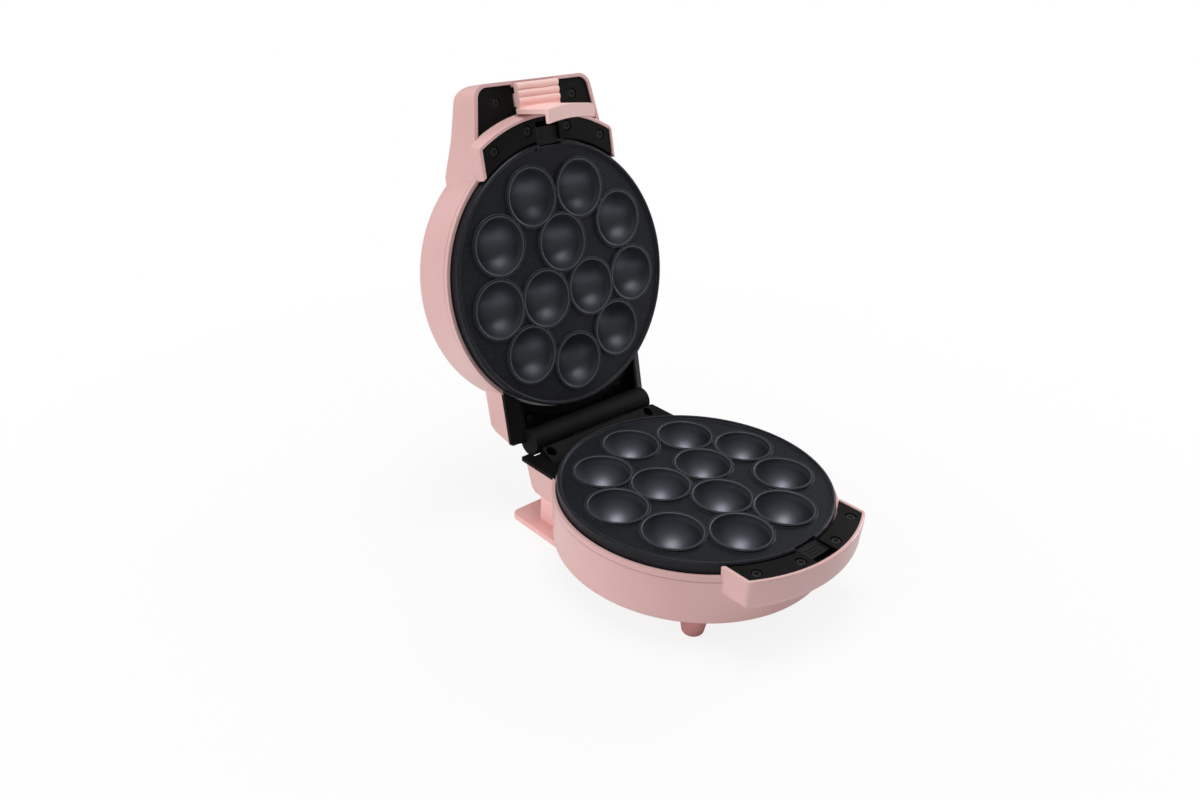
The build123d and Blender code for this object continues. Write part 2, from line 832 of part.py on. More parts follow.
def handle_cover(face):
    """Black cover over a half's front arc, with the channel that guides the release button."""
    button_cut = 2 * slot_half_width
    with BuildPart() as cover:
        with BuildSketch(face.offset(cover_level)) as top:
            arc_band(cover_inner_radius, cover_reach, cover_half_width)
            fillet(top.vertices().group_by(Axis.Y)[0], handle_corner - cover_inset / 2)
        extrude(amount=-cover_thickness)
        rim = cover.faces().filter_by(Plane(face.origin, z_dir=face.z_dir)).sort_by(centre_line(face))[-1]
        chamfer(rim.edges(), cover_chamfer)
        with BuildSketch(face.offset(cover_under)):
            arc_band(cover_inner_radius, cover_inner_radius + cover_skirt, cover_half_width)
        extrude(amount=cover_under - cover_skirt_level, dir=-face.z_dir)
        with BuildSketch(face.offset(cover_level)):
            with Locations((0, -(channel_inner + channel_outer) / 2)):
                Rectangle(button_cut + 2 * channel_wall, channel_outer - channel_inner)
        extrude(amount=channel_level - cover_level)
        with BuildSketch(face):
            with Locations((0, -(channel_inner + slot_front) / 2)):
                Rectangle(button_cut, slot_front - channel_inner)
        extrude(amount=-button_floor - button_clear, mode=Mode.SUBTRACT)
        with BuildSketch(face):
            with Locations((0, -cover_inner_radius)):
                Rectangle(button_cut, 2 * (channel_inner - cover_inner_radius) + 0.2)
        extrude(amount=cover_skirt_level - 1, mode=Mode.SUBTRACT)
        with BuildSketch(face):
            with Locations((0, -cover_reach)):
                Rectangle(button_cut, 2 * (cover_reach - slot_front + 0.2))
        extrude(amount=-button_top - 0.4, mode=Mode.SUBTRACT)
        screw_seats(face, handle_spots, cover_level, cover_thickness, screw_recess)
    return cover


def release_button(face):
    """Sliding catch: its tongue holds the plate's front ledge down."""
    with BuildPart() as button:
        with BuildSketch(side_view(face)):
            with BuildLine():
                Polyline(
                    (-button_inner, -button_top),
                    (-button_outer, -button_top),
                    (-button_outer, -button_floor),
                    (-button_step, -button_floor),
                    (-button_step, -button_top - button_tongue),
                    (-button_inner, -button_top - button_tongue),
                    close=True,
                )
            make_face()
        extrude(amount=button_half_width, both=True)
        fillet(button.edges().filter_by(Axis.X), 0.4)
        with BuildSketch(face.offset(-button_top)):
            with GridLocations(0, button_rib_spacing, 1, 3):
                with Locations((0, -(button_inner + button_outer) / 2 - 1)):
                    SlotOverall(button_half_width, button_rib_height * 2)
        extrude(amount=button_rib_height)
        with BuildSketch(spring_seat(face)):
            Circle(spring_bore)
        extrude(amount=spring_length + button_travel + 2 * button_clear, mode=Mode.SUBTRACT)
    return button


def spring_seat(face):
    """Front wall of the button's channel, facing the hinge, at the button's spring."""
    spot = face.from_local_coords((0, -slot_front, -spring_depth))
    return Plane(origin=spot, x_dir=face.x_dir, z_dir=face.y_dir)


handle_spots = [on_ring(handle_screw_radius, angle) for angle in handle_screw_angles]
post_spots = [on_ring(post_ring_radius, angle) for angle in post_angles]
foot_spots = [on_ring(foot_ring_radius, angle) for angle in (-foot_angle, foot_angle)]
base_hinge_spots = pair(hinge_half_width - hinge_screw_edge, hinge_offset - hinge_screw_inset)
lid_hinge_spots = pair(hinge_half_width - lid_screw_edge, hinge_offset - lid_screw_inset)
stand_spots = pair(stand_screw_x, hinge_offset - stand_screw_inset)
grip_spots = pair(grip_screw_x, grip_screw_inset - grip_reach)
lens_spots = pair(lens_spacing / 2, -lens_ring_radius)
crown_share = 1 - (lens_ring_radius / (rim_radius - bowl_draft)) ** 2
lens_level = floor_level - lid_crown * crown_share
lens_seat = lens_level + shell + 0.6

underside = Plane(origin=base_face.origin, x_dir=(-1, 0, 0), z_dir=(0, 0, -1))
wall_lean = (base_block_rear - base_block_lower) / (block_corner_depth + hinge_cover_under)
inlet_y = base_block_rear - wall_lean * (inlet_depth + hinge_cover_under)
inlet_wall = Plane(
    origin=base_face.from_local_coords((inlet_x, inlet_y, -inlet_depth)),
    x_dir=(1, 0, 0),
    z_dir=(0, 1, -wall_lean),
)

# --- Lower half --------------------------------------------------------------------------------
with BuildPart() as base_housing:
    base_block = (base_block_rear, base_block_lower, base_block_depth, hinge_cover_under)
    add(block_form(base_face, *base_block))
    add(block_form(base_face, *base_block, shell), mode=Mode.SUBTRACT)
    add(arc_block(base_face))
    clear_bowl(base_face)
    bowl_wall(base_face, 0)
    ledge_slot(base_face)
    hinge_seat(base_face, hinge_cover_under)
    wire_window(base_face)
    handle_pocket(base_face, handle_depth)
    posts(base_face, handle_spots, boss_radius, cover_under, -handle_depth + shell / 2)
    posts(base_face, post_spots, post_radius, pan_under, floor_level + shell / 2)
    posts(base_face, base_hinge_spots, boss_radius, hinge_cover_under, -hinge_post_depth)
    with BuildSketch(base_face.offset(floor_level)):
        with Locations(*foot_spots, *stand_spots):
            Circle(screw_shank_radius + screw_fit)
        with PolarLocations(vent_ring_radius, vent_count):
            SlotOverall(vent_length, vent_width)
    extrude(amount=shell, mode=Mode.SUBTRACT)
    with BuildSketch(inlet_wall):
        Circle(inlet_wall_radius + screw_fit)
    extrude(amount=1.5 * shell, both=True, mode=Mode.SUBTRACT)
base_housing.part.label = "base_housing"
export_step(base_housing.part, "parts/base_housing.step")

base_plate = baking_plate(base_face, -1)
base_plate.part.label = "base_plate"
export_step(base_plate.part, "parts/base_plate.step")

base_reflector = reflector_pan(base_face)
base_reflector.part.label = "base_reflector"
export_step(base_reflector.part, "parts/base_reflector.step")

base_element = heating_element(base_face)
base_element.part.label = "base_element"
export_step(base_element.part, "parts/base_element.step")

base_element_saddles = element_saddles(base_face)
base_element_saddles.part.label = "base_element_saddles"
export_step(base_element_saddles.part, "parts/base_element_saddles.step")

base_pan_screws = panel_screws(base_face, post_spots, pan_level, screw_length)
base_pan_screws.part.label = "base_pan_screws"
export_step(base_pan_screws.part, "parts/base_pan_screws.step")

base_handle_cover = handle_cover(base_face)
base_handle_cover.part.label = "base_handle_cover"
export_step(base_handle_cover.part, "parts/base_handle_cover.step")

base_handle_screws = panel_screws(base_face, handle_spots, cover_level - screw_recess, screw_length)
base_handle_screws.part.label = "base_handle_screws"
export_step(base_handle_screws.part, "parts/base_handle_screws.step")

base_release_button = release_button(base_face)
base_release_button.part.label = "base_release_button"
export_step(base_release_button.part, "parts/base_release_button.step")

base_release_spring = coil_spring(
    spring_seat(base_face), spring_radius, spring_wire, spring_length, spring_turns
)
base_release_spring.part.label = "base_release_spring"
export_step(base_release_spring.part, "parts/base_release_spring.step")

# The cover slopes up to the barrels, carries the middle one and is scooped out for the lid's.
with BuildPart() as base_hinge_cover:
    with BuildSketch(base_face.offset(-hinge_cover_top)) as outline:
        side = hinge_cover_side
        trough = lid_barrel_end + ear_gap
        hinge_outline(-side, side, hinge_cover_rear, hinge_cover_radius)
        hinge_outline(-side, -trough, hinge_offset - ear_inset, hinge_cover_radius)
        hinge_outline(trough, side, hinge_offset - ear_inset, hinge_cover_radius)
        fillet(outline.vertices().group_by(Axis.Y)[-1], hinge_cover_corner)
    extrude(amount=-hinge_cover_thickness)
    with BuildSketch(side_view(base_face)):
        with BuildLine():
            Polyline(
                (fairing_rear - fairing_run, hinge_cover_under),
                (fairing_rear - fairing_run, -hinge_cover_top),
                (fairing_rear, -fairing_top),
                (hinge_cover_rear, -fairing_top),
                (hinge_cover_rear, hinge_cover_under),
                close=True,
            )
        make_face()
    extrude(amount=lid_barrel_end - fairing_side, both=True)
    with BuildSketch(base_face):
        Circle(hinge_cover_radius)
    extrude(amount=hinge_cover_under, mode=Mode.SUBTRACT)
    with BuildSketch(side_view(base_face, barrel_left)):
        with BuildLine():
            Polyline(
                (hinge_cover_rear - 1, hinge_cover_under),
                (hinge_cover_rear - 1, -hinge_drop),
                (hinge_offset, -hinge_drop),
                (hinge_offset, hinge_cover_under),
                close=True,
            )
        make_face()
    extrude(amount=barrel_right - barrel_left)
    add(barrel(barrel_left, barrel_right, barrel_radius))
    left_trough = barrel(-trough, barrel_left, barrel_radius + barrel_clear)
    right_trough = barrel(barrel_right, trough, barrel_radius + barrel_clear)
    pin_bore = barrel(barrel_left - 1, barrel_right + 1, pin_radius + pin_fit)
    add([left_trough, right_trough, pin_bore], mode=Mode.SUBTRACT)
    seat_depth = hinge_cover_top + screw_recess - fairing_top
    well_depth = hinge_cover_top + hinge_cover_thickness - fairing_top
    screw_seats(base_face, base_hinge_spots, -fairing_top, well_depth, seat_depth)
base_hinge_cover.part.label = "base_hinge_cover"
export_step(base_hinge_cover.part, "parts/base_hinge_cover.step")

base_hinge_screws = panel_screws(
    base_face, base_hinge_spots, -hinge_cover_top - screw_recess, screw_length
)
base_hinge_screws.part.label = "base_hinge_screws"
export_step(base_hinge_screws.part, "parts/base_hinge_screws.step")

with BuildPart() as hinge_pin:
    add(barrel(2 * pin_inset - lid_barrel_end, lid_barrel_end - pin_inset, pin_radius))
    chamfer(hinge_pin.edges().filter_by(GeomType.CIRCLE), 0.4)
hinge_pin.part.label = "hinge_pin"
export_step(hinge_pin.part, "parts/hinge_pin.step")

with BuildPart() as cord_grommet:
    with BuildSketch(inlet_wall):
        Circle(inlet_wall_radius + inlet_flange)
    extrude(amount=inlet_flange)
    fillet(cord_grommet.edges().sort_by(Axis(inlet_wall.origin, inlet_wall.z_dir))[-1], 0.8)
    with BuildSketch(inlet_wall):
        Circle(inlet_wall_radius)
    extrude(amount=-2 * shell)
    with BuildSketch(inlet_wall.offset(inlet_flange)):
        Circle(inlet_radius)
    extrude(amount=-2 * shell - inlet_flange, mode=Mode.SUBTRACT)
cord_grommet.part.label = "cord_grommet"
export_step(cord_grommet.part, "parts/cord_grommet.step")


def front_foot(spot):
    """Tapered foot under the bowl, bored for the screw that holds it."""
    with BuildPart() as foot:
        with BuildSketch(base_face.offset(floor_level)):
            with Locations(spot):
                Circle(foot_top_radius)
        extrude(amount=-foot_height, taper=degrees(atan((foot_top_radius - foot_tip_radius) / foot_height)))
        fillet(foot.edges().filter_by(GeomType.CIRCLE).sort_by(Axis.Z)[0], foot_round)
        with BuildSketch(base_face.offset(floor_level)):
            with Locations(spot):
                Circle(screw_shank_radius + screw_fit)
        extrude(amount=-screw_length, mode=Mode.SUBTRACT)
    return foot


front_foot_left = front_foot(foot_spots[0])
front_foot_left.part.label = "front_foot_left"
export_step(front_foot_left.part, "parts/front_foot_left.step")

front_foot_right = front_foot(foot_spots[1])
front_foot_right.part.label = "front_foot_right"
export_step(front_foot_right.part, "parts/front_foot_right.step")

foot_screws = panel_screws(base_face, foot_spots, inner_floor, screw_length)
foot_screws.part.label = "foot_screws"
export_step(foot_screws.part, "parts/foot_screws.step")

with BuildPart() as rear_stand:
    with BuildSketch(base_face.offset(stand_top)) as outline:
        with Locations((0, (stand_front + stand_rear) / 2)):
            Rectangle(2 * stand_half_width, stand_rear - stand_front)
        fillet(outline.vertices(), stand_corner)
    extrude(amount=-stand_plate)
    fillet(rear_stand.edges().group_by(Axis.Z)[-1], edge_round)
    with BuildSketch(base_face.offset(stand_top)):
        with Locations((0, (upright_front + upright_rear) / 2)):
            RectangleRounded(2 * upright_half_width, upright_rear - upright_front, stand_corner / 2)
    extrude(amount=-base_block_depth - seat_gap - stand_top)
    with BuildSketch(section(base_face)):
        with BuildLine():
            Polyline(
                (0, floor_level - seat_gap),
                (rim_radius - bowl_draft + seat_gap, floor_level - seat_gap),
                (rim_radius + seat_gap, -rim_top),
                (0, -rim_top),
                close=True,
            )
        make_face()
    revolve(axis=centre_line(base_face), mode=Mode.SUBTRACT)
    with BuildSketch(base_face.offset(floor_level - seat_gap)):
        with Locations((0, upright_rear)):
            Rectangle(2 * ear_half_gap, upright_rear)
    extrude(amount=bowl_depth, mode=Mode.SUBTRACT)
    with BuildSketch(base_face.offset(table_level)):
        with Locations((0, (upright_front + upright_rear) / 2)):
            Rectangle(
                2 * (upright_half_width - upright_wall),
                upright_rear - upright_front - 2 * upright_wall,
            )
    extrude(amount=foot_height - seat_gap - upright_wall, mode=Mode.SUBTRACT)
    with BuildSketch(base_face.offset(table_level)):
        with Locations(*stand_spots):
            Circle(screw_shank_radius + screw_fit)
    extrude(amount=foot_height, mode=Mode.SUBTRACT)
rear_stand.part.label = "rear_stand"
export_step(rear_stand.part, "parts/rear_stand.step")

stand_screws = panel_screws(
    underside, stand_spots, bowl_depth + seat_gap + upright_wall, 0.75 * screw_length
)
stand_screws.part.label = "stand_screws"
export_step(stand_screws.part, "parts/stand_screws.step")

with BuildPart() as thermostat:
    with BuildSketch(base_face.offset(pan_under)):
        Circle(thermostat_radius)
    extrude(amount=-thermostat_height)
    fillet(thermostat.edges().sort_by(Axis.Z)[0], 1.0)
    with BuildSketch(base_face.offset(pan_under - thermostat_height)):
        with GridLocations(thermostat_radius, 0, 2, 1):
            Rectangle(0.8, 5)
    extrude(amount=-5)
thermostat.part.label = "thermostat"
export_step(thermostat.part, "parts/thermostat.step")

with BuildPart() as thermal_fuse:
    with BuildSketch(side_view(base_face, -fuse_length / 2)):
        with Locations((-fuse_place, pan_under - fuse_radius)):
            Circle(fuse_radius)
    extrude(amount=fuse_length)
    fillet(thermal_fuse.edges().filter_by(GeomType.CIRCLE), 0.6)
    with BuildSketch(side_view(base_face, -fuse_length)):
        with Locations((-fuse_place, pan_under - fuse_radius)):
            Circle(fuse_radius / 4)
    extrude(amount=2 * fuse_length)
thermal_fuse.part.label = "thermal_fuse"
export_step(thermal_fuse.part, "parts/thermal_fuse.step")

with BuildPart() as terminal_block:
    with BuildSketch(base_face.offset(inner_floor)):
        with Locations((terminal_x, terminal_y)):
            Rectangle(terminal_length, terminal_width)
    extrude(amount=terminal_height)
    fillet(terminal_block.edges().filter_by(Axis.Z), 1.5)
    with BuildSketch(base_face.offset(inner_floor + terminal_height)):
        with Locations((terminal_x, terminal_y)):
            with GridLocations(terminal_length / 3, 0, 3, 1):
                Circle(2.0)
    extrude(amount=-3, mode=Mode.SUBTRACT)
terminal_block.part.label = "terminal_block"
export_step(terminal_block.part, "parts/terminal_block.step")

# --- Lid ---------------------------------------------------------------------------------------
with BuildPart() as lid_housing:
    lid_block = (lid_block_rear, lid_block_lower, lid_block_depth, lid_cover_under)
    add(block_form(lid_face, *lid_block))
    add(block_form(lid_face, *lid_block, shell), mode=Mode.SUBTRACT)
    add(grip_form(lid_face, -grip_face))
    grip_hollow = grip_form(lid_face, grip_cover_under, grip_wall + seat_step)
    with BuildSketch(lid_face.offset(grip_cover_under)):
        Circle(handle_reach)
    arc_core = extrude(amount=-2 * bowl_depth, mode=Mode.PRIVATE)
    add(grip_hollow - arc_core, mode=Mode.SUBTRACT)
    add(flared_arc(lid_face))
    clear_bowl(lid_face)
    bowl_wall(lid_face, lid_crown)
    ledge_slot(lid_face)
    hinge_seat(lid_face, lid_cover_under)
    wire_window(lid_face)
    handle_pocket(lid_face, arc_pocket_depth)
    with BuildSketch(lid_face.offset(grip_cover_under)):
        add(grip_outline(grip_wall))
        Circle(arc_outer + cover_fit, mode=Mode.SUBTRACT)
    extrude(amount=grip_face + grip_cover_thickness, mode=Mode.SUBTRACT)
    with BuildSketch(lid_face.offset(-notch_depth)):
        with Locations((0, -grip_reach)):
            Rectangle(2 * latch_well, 2 * (grip_wall + seat_step) + 1)
    extrude(amount=notch_depth, mode=Mode.SUBTRACT)
    posts(lid_face, handle_spots, boss_radius, cover_under, -arc_pocket_depth + shell / 2)
    posts(lid_face, grip_spots, boss_radius, grip_cover_under, -grip_back_tip)
    posts(lid_face, post_spots, post_radius, pan_under, floor_level - shell / 4)
    posts(lid_face, lid_hinge_spots, boss_radius, pocket_under, -lid_block_depth + shell / 2)
    with BuildSketch(lid_face.offset(floor_level)):
        with Locations(*lens_spots):
            Circle(lens_radius + cover_fit)
    extrude(amount=2 * shell, both=True, mode=Mode.SUBTRACT)
lid_housing.part.label = "lid_housing"
export_step(lid_housing.part, "parts/lid_housing.step")

lid_plate = baking_plate(lid_face, 1)
lid_plate.part.label = "lid_plate"
export_step(lid_plate.part, "parts/lid_plate.step")

lid_reflector = reflector_pan(lid_face)
lid_reflector.part.label = "lid_reflector"
export_step(lid_reflector.part, "parts/lid_reflector.step")

lid_element = heating_element(lid_face)
lid_element.part.label = "lid_element"
export_step(lid_element.part, "parts/lid_element.step")

lid_element_saddles = element_saddles(lid_face)
lid_element_saddles.part.label = "lid_element_saddles"
export_step(lid_element_saddles.part, "parts/lid_element_saddles.step")

lid_pan_screws = panel_screws(lid_face, post_spots, pan_level, screw_length)
lid_pan_screws.part.label = "lid_pan_screws"
export_step(lid_pan_screws.part, "parts/lid_pan_screws.step")

lid_handle_cover = handle_cover(lid_face)
lid_handle_cover.part.label = "lid_handle_cover"
export_step(lid_handle_cover.part, "parts/lid_handle_cover.step")

lid_handle_screws = panel_screws(lid_face, handle_spots, cover_level - screw_recess, screw_length)
lid_handle_screws.part.label = "lid_handle_screws"
export_step(lid_handle_screws.part, "parts/lid_handle_screws.step")

lid_release_button = release_button(lid_face)
lid_release_button.part.label = "lid_release_button"
export_step(lid_release_button.part, "parts/lid_release_button.step")

lid_release_spring = coil_spring(
    spring_seat(lid_face), spring_radius, spring_wire, spring_length, spring_turns
)
lid_release_spring.part.label = "lid_release_spring"
export_step(lid_release_spring.part, "parts/lid_release_spring.step")

# Rails flank the pocket, which takes the lower half's barrel; the lid's barrels close its rear.
with BuildPart() as lid_hinge_cover:
    with BuildSketch(section(lid_face)):
        with BuildLine():
            Polyline(
                (pocket_half_width, lid_cover_under),
                (pocket_half_width, -rail_top),
                (pocket_half_width + rail_width, -rail_top),
                (hinge_cover_side, -lid_cover_top),
                (hinge_cover_side, lid_cover_under),
                close=True,
            )
        make_face()
        mirror(about=Plane.YZ)
    extrude(amount=-hinge_offset)
    with BuildSketch(lid_face.offset(-lid_cover_top)):
        hinge_outline(-pocket_outer, pocket_outer, pocket_rear, pocket_radius)
    extrude(amount=-pocket_depth - pocket_wall)
    with BuildSketch(lid_face.offset(-lid_cover_top)):
        hinge_outline(-pocket_half_width, pocket_half_width, hinge_offset, pocket_radius + pocket_wall)
    extrude(amount=-pocket_depth, mode=Mode.SUBTRACT)
    with BuildSketch(lid_face.offset(-lid_cover_top)):
        with Locations((0, pocket_radius / 2)):
            Rectangle(2 * pocket_half_width, pocket_radius)
        Circle(pocket_radius + pocket_wall, mode=Mode.INTERSECT)
    extrude(amount=-hinge_cover_thickness)
    with BuildSketch(lid_face):
        Circle(hinge_cover_radius)
    extrude(amount=lid_cover_under, mode=Mode.SUBTRACT)
    knuckles = (
        (-lid_barrel_end, barrel_left - barrel_gap),
        (barrel_right + barrel_gap, lid_barrel_end),
    )
    for left, right in knuckles:
        with BuildSketch(side_view(lid_face, -right)):
            with BuildLine():
                Polyline(
                    (barrel_web_front, pocket_under),
                    (pocket_rear, pocket_under),
                    (pocket_rear, lid_cover_under),
                    (hinge_offset, lid_cover_under),
                    (hinge_offset, 0),
                    (barrel_web_front, 0),
                    close=True,
                )
            make_face()
        extrude(amount=right - left)
        add(barrel(left, right, barrel_radius))
    add(barrel(pin_inset - lid_barrel_end, lid_barrel_end + 1, pin_radius + pin_fit), mode=Mode.SUBTRACT)
    screw_seats(lid_face, lid_hinge_spots, pocket_floor, pocket_wall, pocket_recess)
lid_hinge_cover.part.label = "lid_hinge_cover"
export_step(lid_hinge_cover.part, "parts/lid_hinge_cover.step")

lid_hinge_screws = panel_screws(lid_face, lid_hinge_spots, pocket_floor - pocket_recess, screw_length)
lid_hinge_screws.part.label = "lid_hinge_screws"
export_step(lid_hinge_screws.part, "parts/lid_hinge_screws.step")

with BuildPart() as lid_outer_cover:
    with BuildSketch(lid_face.offset(grip_cover_level)):
        add(grip_outline(grip_wall + cover_fit))
        Circle(arc_outer + 2 * cover_fit, mode=Mode.SUBTRACT)
    extrude(amount=-grip_cover_thickness)
    with BuildSketch(lid_face.offset(grip_cover_level)):
        with Locations((0, -(cradle_front + cradle_rear) / 2)):
            Rectangle(2 * cradle_half_width, cradle_rear - cradle_front)
    extrude(amount=cradle_level - cradle_floor - grip_cover_level)
    with BuildSketch(lid_face.offset(cradle_level)):
        with Locations((0, -cradle_front - grip_reach / 2)):
            Rectangle(2 * latch_well, grip_reach)
    extrude(amount=-cradle_level, mode=Mode.SUBTRACT)
    with BuildSketch(side_view(lid_face)):
        with Locations((-latch_pivot_y, -latch_pivot_depth)):
            Circle(latch_pin_radius + pin_fit)
    extrude(amount=cradle_half_width, both=True, mode=Mode.SUBTRACT)
    screw_seats(lid_face, grip_spots, grip_cover_level, grip_cover_thickness, screw_recess)
lid_outer_cover.part.label = "lid_outer_cover"
export_step(lid_outer_cover.part, "parts/lid_outer_cover.step")

lid_outer_screws = panel_screws(lid_face, grip_spots, grip_cover_level - screw_recess, screw_length)
lid_outer_screws.part.label = "lid_outer_screws"
export_step(lid_outer_screws.part, "parts/lid_outer_screws.step")

with BuildPart() as latch_pin:
    with BuildSketch(side_view(lid_face)):
        with Locations((-latch_pivot_y, -latch_pivot_depth)):
            Circle(latch_pin_radius)
    extrude(amount=cradle_half_width - 0.4, both=True)
latch_pin.part.label = "latch_pin"
export_step(latch_pin.part, "parts/latch_pin.step")

spring_foot = Plane(
    origin=lid_face.from_local_coords((0, -latch_spring_y, cradle_level)),
    x_dir=lid_face.x_dir,
    z_dir=lid_face.z_dir,
)
latch_spring_length = latch_under - latch_spring_gap - cradle_level
latch_spring = coil_spring(spring_foot, spring_radius, spring_wire, latch_spring_length, latch_spring_turns)
latch_spring.part.label = "latch_spring"
export_step(latch_spring.part, "parts/latch_spring.step")

# --- Latch -------------------------------------------------------------------------------------
with BuildPart() as latch:
    with BuildSketch(side_view(lid_face)) as profile:
        rib_pitch = (latch_tip - latch_root - 3) / latch_rib_count
        with BuildLine():
            Polyline(
                (-latch_tip, latch_under),
                (-latch_tip, -latch_face),
                (-latch_root, -latch_face),
                (-latch_root, latch_under),
                close=True,
            )
        make_face()
        with Locations((-(latch_tip + latch_root + 3) / 2, -latch_face)):
            with GridLocations(rib_pitch, 0, latch_rib_count, 1):
                Ellipse(0.42 * rib_pitch, latch_rib)
    extrude(amount=latch_half_width, both=True)
    with BuildSketch(side_view(lid_face)) as lug:
        with Locations((-latch_pivot_y, -latch_pivot_depth)):
            Circle(latch_boss)
        with Locations((-latch_pivot_y, (latch_under - latch_pivot_depth) / 2)):
            Rectangle(2 * latch_boss, latch_under + latch_pivot_depth + 1)
    extrude(amount=latch_half_width, both=True)
    with BuildSketch(lid_face.offset(latch_under)):
        with Locations((0, -latch_pivot_y)):
            Rectangle(2 * (latch_half_width - latch_lug), 2 * latch_boss + 1)
    extrude(amount=-latch_pivot_depth, mode=Mode.SUBTRACT)
    with BuildSketch(side_view(lid_face)):
        with Locations((-latch_pivot_y, -latch_pivot_depth)):
            Circle(latch_pin_radius + pin_fit)
    extrude(amount=latch_half_width, both=True, mode=Mode.SUBTRACT)
    with BuildSketch(lid_face.offset(latch_under + 1.5)):
        arc_band(hook_inner + hook_slant, hook_inner + hook_slant + hook_thickness, hook_half_width)
    with BuildSketch(lid_face.offset(hook_height)):
        arc_band(hook_inner, hook_inner + hook_thickness, hook_half_width)
    loft(ruled=True)
    with BuildSketch(lid_face.offset(hook_height)):
        arc_band(handle_reach - catch_grip, hook_inner + hook_thickness / 2, hook_half_width)
    extrude(amount=-catch_height)
latch.part.label = "latch"
export_step(latch.part, "parts/latch.step")

# --- Indicators --------------------------------------------------------------------------------
with BuildPart() as indicator_lenses:
    with BuildSketch(lid_face.offset(lens_seat)):
        with Locations(*lens_spots):
            Circle(lens_radius + lens_flange)
    extrude(amount=lens_flange)
    with BuildSketch(lid_face.offset(lens_seat)):
        with Locations(*lens_spots):
            Circle(lens_radius)
    extrude(amount=lens_level - lens_proud - lens_seat)
    domes = indicator_lenses.edges().filter_by(GeomType.CIRCLE).group_by(centre_line(lid_face))[0]
    fillet(domes, lens_proud)
indicator_lenses.part.label = "indicator_lenses"
export_step(indicator_lenses.part, "parts/indicator_lenses.step")

with BuildPart() as indicator_lamps:
    with BuildSketch(lid_face.offset(lens_seat + lens_flange)):
        with Locations(*lens_spots):
            Circle(lamp_radius)
    extrude(amount=lamp_length)
    ends = indicator_lamps.edges().filter_by(GeomType.CIRCLE).group_by(centre_line(lid_face))[-1]
    fillet(ends, lamp_radius / 2)
indicator_lamps.part.label = "indicator_lamps"
export_step(indicator_lamps.part, "parts/indicator_lamps.step")
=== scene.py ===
import math

import bpy
from mathutils import Matrix, Vector

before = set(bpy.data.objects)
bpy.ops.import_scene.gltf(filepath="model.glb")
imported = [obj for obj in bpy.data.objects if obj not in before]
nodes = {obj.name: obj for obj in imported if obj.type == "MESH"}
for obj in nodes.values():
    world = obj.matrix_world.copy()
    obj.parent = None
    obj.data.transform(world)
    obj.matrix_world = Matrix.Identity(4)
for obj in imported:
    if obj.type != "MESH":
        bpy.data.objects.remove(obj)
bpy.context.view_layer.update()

print("frame loaded with", len(nodes), "nodes")


class Wire:  # a socket that takes part in plain arithmetic
    def __init__(self, finish, socket):
        self.finish = finish
        self.socket = socket

    def maths(self, operation, *others):
        values = [self if item is None else item for item in others] or [self]
        return self.finish.node("ShaderNodeMath", {"operation": operation}, dict(enumerate(values)))

    def __add__(self, other):
        return self.maths("ADD", None, other)

    def __radd__(self, other):
        return self.maths("ADD", other, None)

    def __sub__(self, other):
        return self.maths("SUBTRACT", None, other)

    def __rsub__(self, other):
        return self.maths("SUBTRACT", other, None)

    def __mul__(self, other):
        return self.maths("MULTIPLY", None, other)

    def __rmul__(self, other):
        return self.maths("MULTIPLY", other, None)

    def __pow__(self, other):
        return self.maths("POWER", None, other)

    def atLeast(self, other):
        return self.maths("MAXIMUM", None, other)

    def atMost(self, other):
        return self.maths("MINIMUM", None, other)

    def size(self):
        return self.maths("ABSOLUTE")


class Finish:  # one material and its shader nodes
    def __init__(self, name, tree=None):
        if tree is None:
            self.material = bpy.data.materials.new(name)
            self.material.use_nodes = True
            tree = self.material.node_tree
        self.tree = tree

    def node(self, kind, settings, sockets, output=0):
        made = self.tree.nodes.new(kind)
        for key, value in settings.items():
            setattr(made, key, value)
        for key, value in sockets.items():
            self.feed(made.inputs[key], value)
        return Wire(self, made.outputs[output])

    def feed(self, target, value):
        if isinstance(value, Wire):
            self.tree.links.new(value.socket, target)
        else:
            target.default_value = value

    def surface(self, sockets):  # sets the main shader's own sockets
        shader = self.tree.nodes["Principled BSDF"]
        for key, value in sockets.items():
            self.feed(shader.inputs[key], value)

    def mixColour(self, share, first, second):
        return self.node("ShaderNodeMix", {"data_type": "RGBA"}, {0: share, 6: first, 7: second}, 2)

    def vector(self, operation, first, second, output=0):
        return self.node("ShaderNodeVectorMath", {"operation": operation}, {0: first, 1: second}, output)

    def place(self):
        return self.node("ShaderNodeTexCoord", {}, {}, 3)

    def measured(self, seat, direction):  # distance from a half's centre along one of its directions
        apart = self.vector("SUBTRACT", self.place(), seat["centre"])
        return self.vector("DOT_PRODUCT", apart, seat[direction], 1)

    def noise(self, size, detail, stretch=None):
        where = self.place()
        if stretch:
            where = self.vector("MULTIPLY", where, stretch)
        return self.node("ShaderNodeTexNoise", {}, {"Vector": where, "Scale": 1.0 / size, "Detail": detail})

    def window(self, value, low, high):  # 0 below low, 1 above high
        return self.node("ShaderNodeMapRange", {}, {0: value, 1: low, 2: high, 3: 0.0, 4: 1.0})

    def softNormal(self, radius):
        return self.node("ShaderNodeBevel", {"samples": 6}, {"Radius": radius})

    def edges(self, soft, reach):  # 1 where the rounded normal leaves the flat one
        flat = self.node("ShaderNodeNewGeometry", {}, {}, 1)
        return self.window(1.0 - self.vector("DOT_PRODUCT", soft, flat, 1), 0.0, reach)

    def bump(self, height, distance, normal=None):
        sockets = {"Height": height, "Distance": distance, "Strength": 1.0}
        if normal is not None:
            sockets["Normal"] = normal
        return self.node("ShaderNodeBump", {}, sockets)


